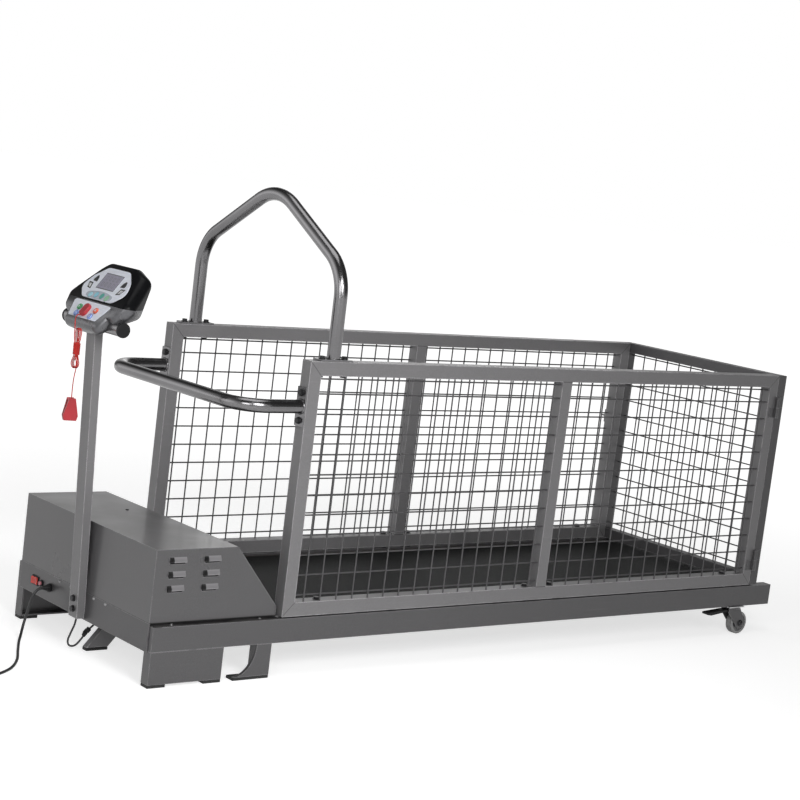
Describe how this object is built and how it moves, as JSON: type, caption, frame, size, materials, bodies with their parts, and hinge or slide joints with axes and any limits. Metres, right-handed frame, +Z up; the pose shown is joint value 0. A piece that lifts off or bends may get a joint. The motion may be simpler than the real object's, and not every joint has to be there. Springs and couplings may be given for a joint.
{
  "type": "dog treadmill",
  "caption": "Motorised dog treadmill with a caged running deck of square tube and wire mesh, rear gate, leash hoop, front bar and a console on a mast.",
  "frame": {"origin": "on the floor, under the middle of the machine's box without its power cord and lanyard", "axes": "+X from the console to the rear gate, +Y to the far side, +Z up"},
  "size_m": [2.6958, 0.701, 1.1764],
  "materials": {
    "frame_paint": "hammered dark grey paint",
    "panel_paint": "satin near-black paint",
    "tube_gloss": "smooth dark grey gloss paint",
    "zinc_steel": "zinc plated",
    "motor_paint": "black motor paint",
    "black_bolts": "black oxide",
    "black_rubber": "fine textured rubber",
    "deck_wood": "pressed board",
    "shell_black": "fine grained black",
    "shell_grey": "satin gunmetal grey",
    "overlay_silver": "printed silver film",
    "display_tint": "tinted window",
    "key_green": "soft green",
    "key_red": "orange red",
    "key_blue": "light blue",
    "red_plastic": "signal red",
    "lanyard_red": "braided red cord",
    "button_pink": "dull red",
    "black_plastic": "moulded black",
    "cord_black": "smooth black sheath",
    "wheel_grey": "light grey"
  },
  "bodies": {
    "base": {"side_rails": "frame_paint", "cross_members": "frame_paint", "front_panel": "panel_paint", "front_legs": "frame_paint", "front_strut": "panel_paint", "foot_pads": "black_rubber", "deck_board": "deck_wood", "running_belt": "black_rubber", "roller_axles": "zinc_steel", "tension_screws": "zinc_steel", "drive_motor": "motor_paint", "drive_belt": "black_rubber", "motor_controller": "zinc_steel", "motor_hood": "frame_paint", "hood_screws": "zinc_steel", "near_cage_frame": "frame_paint", "far_cage_frame": "frame_paint", "near_cage_mesh": "frame_paint", "far_cage_mesh": "frame_paint", "hex_bolts": "black_bolts", "gate_hinges": "frame_paint", "latch_keeper": "frame_paint", "front_u_bar": "tube_gloss", "leash_hoop": "tube_gloss", "mast": "frame_paint", "handlebar": "tube_gloss", "handlebar_caps": "black_plastic", "console_lower_shell": "shell_grey", "console_upper_shell": "shell_black", "console_overlays": "overlay_silver", "console_windows": "display_tint", "switch_bodies": "black_plastic", "cord_grip": "black_plastic", "power_cord": "cord_black", "power_coil": "cord_black", "power_plug": "black_plastic", "console_cable": "cord_black", "caster_plates": "frame_paint"},
    "drive_roller": {"drive_roller": "zinc_steel"},
    "rear_roller": {"rear_roller": "zinc_steel"},
    "flywheel": {"motor_flywheel": "zinc_steel"},
    "gate": {"gate_frame": "frame_paint", "gate_mesh": "frame_paint"},
    "latch": {"latch_bolt": "zinc_steel"},
    "near_fork": {"near_caster_fork": "frame_paint"},
    "far_fork": {"far_caster_fork": "frame_paint"},
    "near_wheel": {"near_caster_wheel": "wheel_grey"},
    "far_wheel": {"far_caster_wheel": "wheel_grey"},
    "near_pedal": {"near_caster_pedal": "black_plastic"},
    "far_pedal": {"far_caster_pedal": "black_plastic"},
    "rocker": {"power_rocker": "red_plastic"},
    "reset_button": {"breaker_button": "button_pink"},
    "start": {"start_key": "key_green"},
    "stop": {"stop_key": "key_red"},
    "speed_up": {"speed_up_key": "key_blue"},
    "speed_down": {"speed_down_key": "key_blue"},
    "safety": {"safety_key": "red_plastic", "lanyard_cord": "lanyard_red", "lanyard_hank": "lanyard_red", "lanyard_clip": "red_plastic"}
  },
  "joints": [
    {"name": "drive_roller_spin", "type": "hinge", "parent": "base", "child": "drive_roller", "pos_m": [-0.73607, 0, 0.1167], "axis": [0, 1, 0], "continuous": true},
    {"name": "rear_roller_spin", "type": "hinge", "parent": "base", "child": "rear_roller", "pos_m": [1.09993, 0, 0.1167], "axis": [0, 1, 0], "continuous": true},
    {"name": "flywheel_spin", "type": "hinge", "parent": "base", "child": "flywheel", "pos_m": [-0.89607, 0, 0.183], "axis": [0, 1, 0], "continuous": true},
    {"name": "gate_swing", "type": "hinge", "parent": "base", "child": "gate", "pos_m": [1.04093, -0.333, 0.151], "axis": [0, 0, -1], "range_deg": [0, 110]},
    {"name": "latch_slide", "type": "slide", "parent": "gate", "child": "latch", "axis": [0, 0, -1], "range_m": [0, 0.025]},
    {"name": "near_swivel", "type": "hinge", "parent": "base", "child": "near_fork", "pos_m": [0.99293, -0.312, 0.087], "axis": [0, 0, 1], "continuous": true},
    {"name": "near_wheel_spin", "type": "hinge", "parent": "near_fork", "child": "near_wheel", "pos_m": [1.02293, -0.312, 0.034], "axis": [0, 1, 0], "continuous": true},
    {"name": "near_pedal_tip", "type": "hinge", "parent": "near_fork", "child": "near_pedal", "pos_m": [0.97293, -0.312, 0.0737], "axis": [0, -1, 0], "range_deg": [0, 10]},
    {"name": "far_swivel", "type": "hinge", "parent": "base", "child": "far_fork", "pos_m": [0.99293, 0.312, 0.087], "axis": [0, 0, 1], "continuous": true},
    {"name": "far_wheel_spin", "type": "hinge", "parent": "far_fork", "child": "far_wheel", "pos_m": [1.02293, 0.312, 0.034], "axis": [0, 1, 0], "continuous": true},
    {"name": "far_pedal_tip", "type": "hinge", "parent": "far_fork", "child": "far_pedal", "pos_m": [0.97293, 0.312, 0.0737], "axis": [0, -1, 0], "range_deg": [0, 10]},
    {"name": "rocker_tip", "type": "hinge", "parent": "base", "child": "rocker", "pos_m": [-1.04657, 0.231, 0.12], "axis": [0, 0, -1], "range_deg": [0, 16]},
    {"name": "reset_press", "type": "slide", "parent": "base", "child": "reset_button", "axis": [1, 0, 0], "range_m": [0, 0.002], "stiffness_N_per_m": 300},
    {"name": "start_press", "type": "slide", "parent": "base", "child": "start", "axis": [0.7826, 0, -0.6225], "range_m": [0, 0.001], "stiffness_N_per_m": 300},
    {"name": "stop_press", "type": "slide", "parent": "base", "child": "stop", "axis": [0.7826, 0, -0.6225], "range_m": [0, 0.001], "stiffness_N_per_m": 300},
    {"name": "speed_up_press", "type": "slide", "parent": "base", "child": "speed_up", "axis": [0.7826, 0, -0.6225], "range_m": [0, 0.001], "stiffness_N_per_m": 300},
    {"name": "speed_down_press", "type": "slide", "parent": "base", "child": "speed_down", "axis": [0.7826, 0, -0.6225], "range_m": [0, 0.001], "stiffness_N_per_m": 300},
    {"name": "safety_pull", "type": "slide", "parent": "base", "child": "safety", "axis": [-0.7826, 0, 0.6225], "range_m": [0, 0.018]}
  ],
  "couplings": [
    {"joint": "rear_roller_spin", "follows": "drive_roller_spin", "ratio": 1},
    {"joint": "flywheel_spin", "follows": "drive_roller_spin", "ratio": 1.7895}
  ]
}
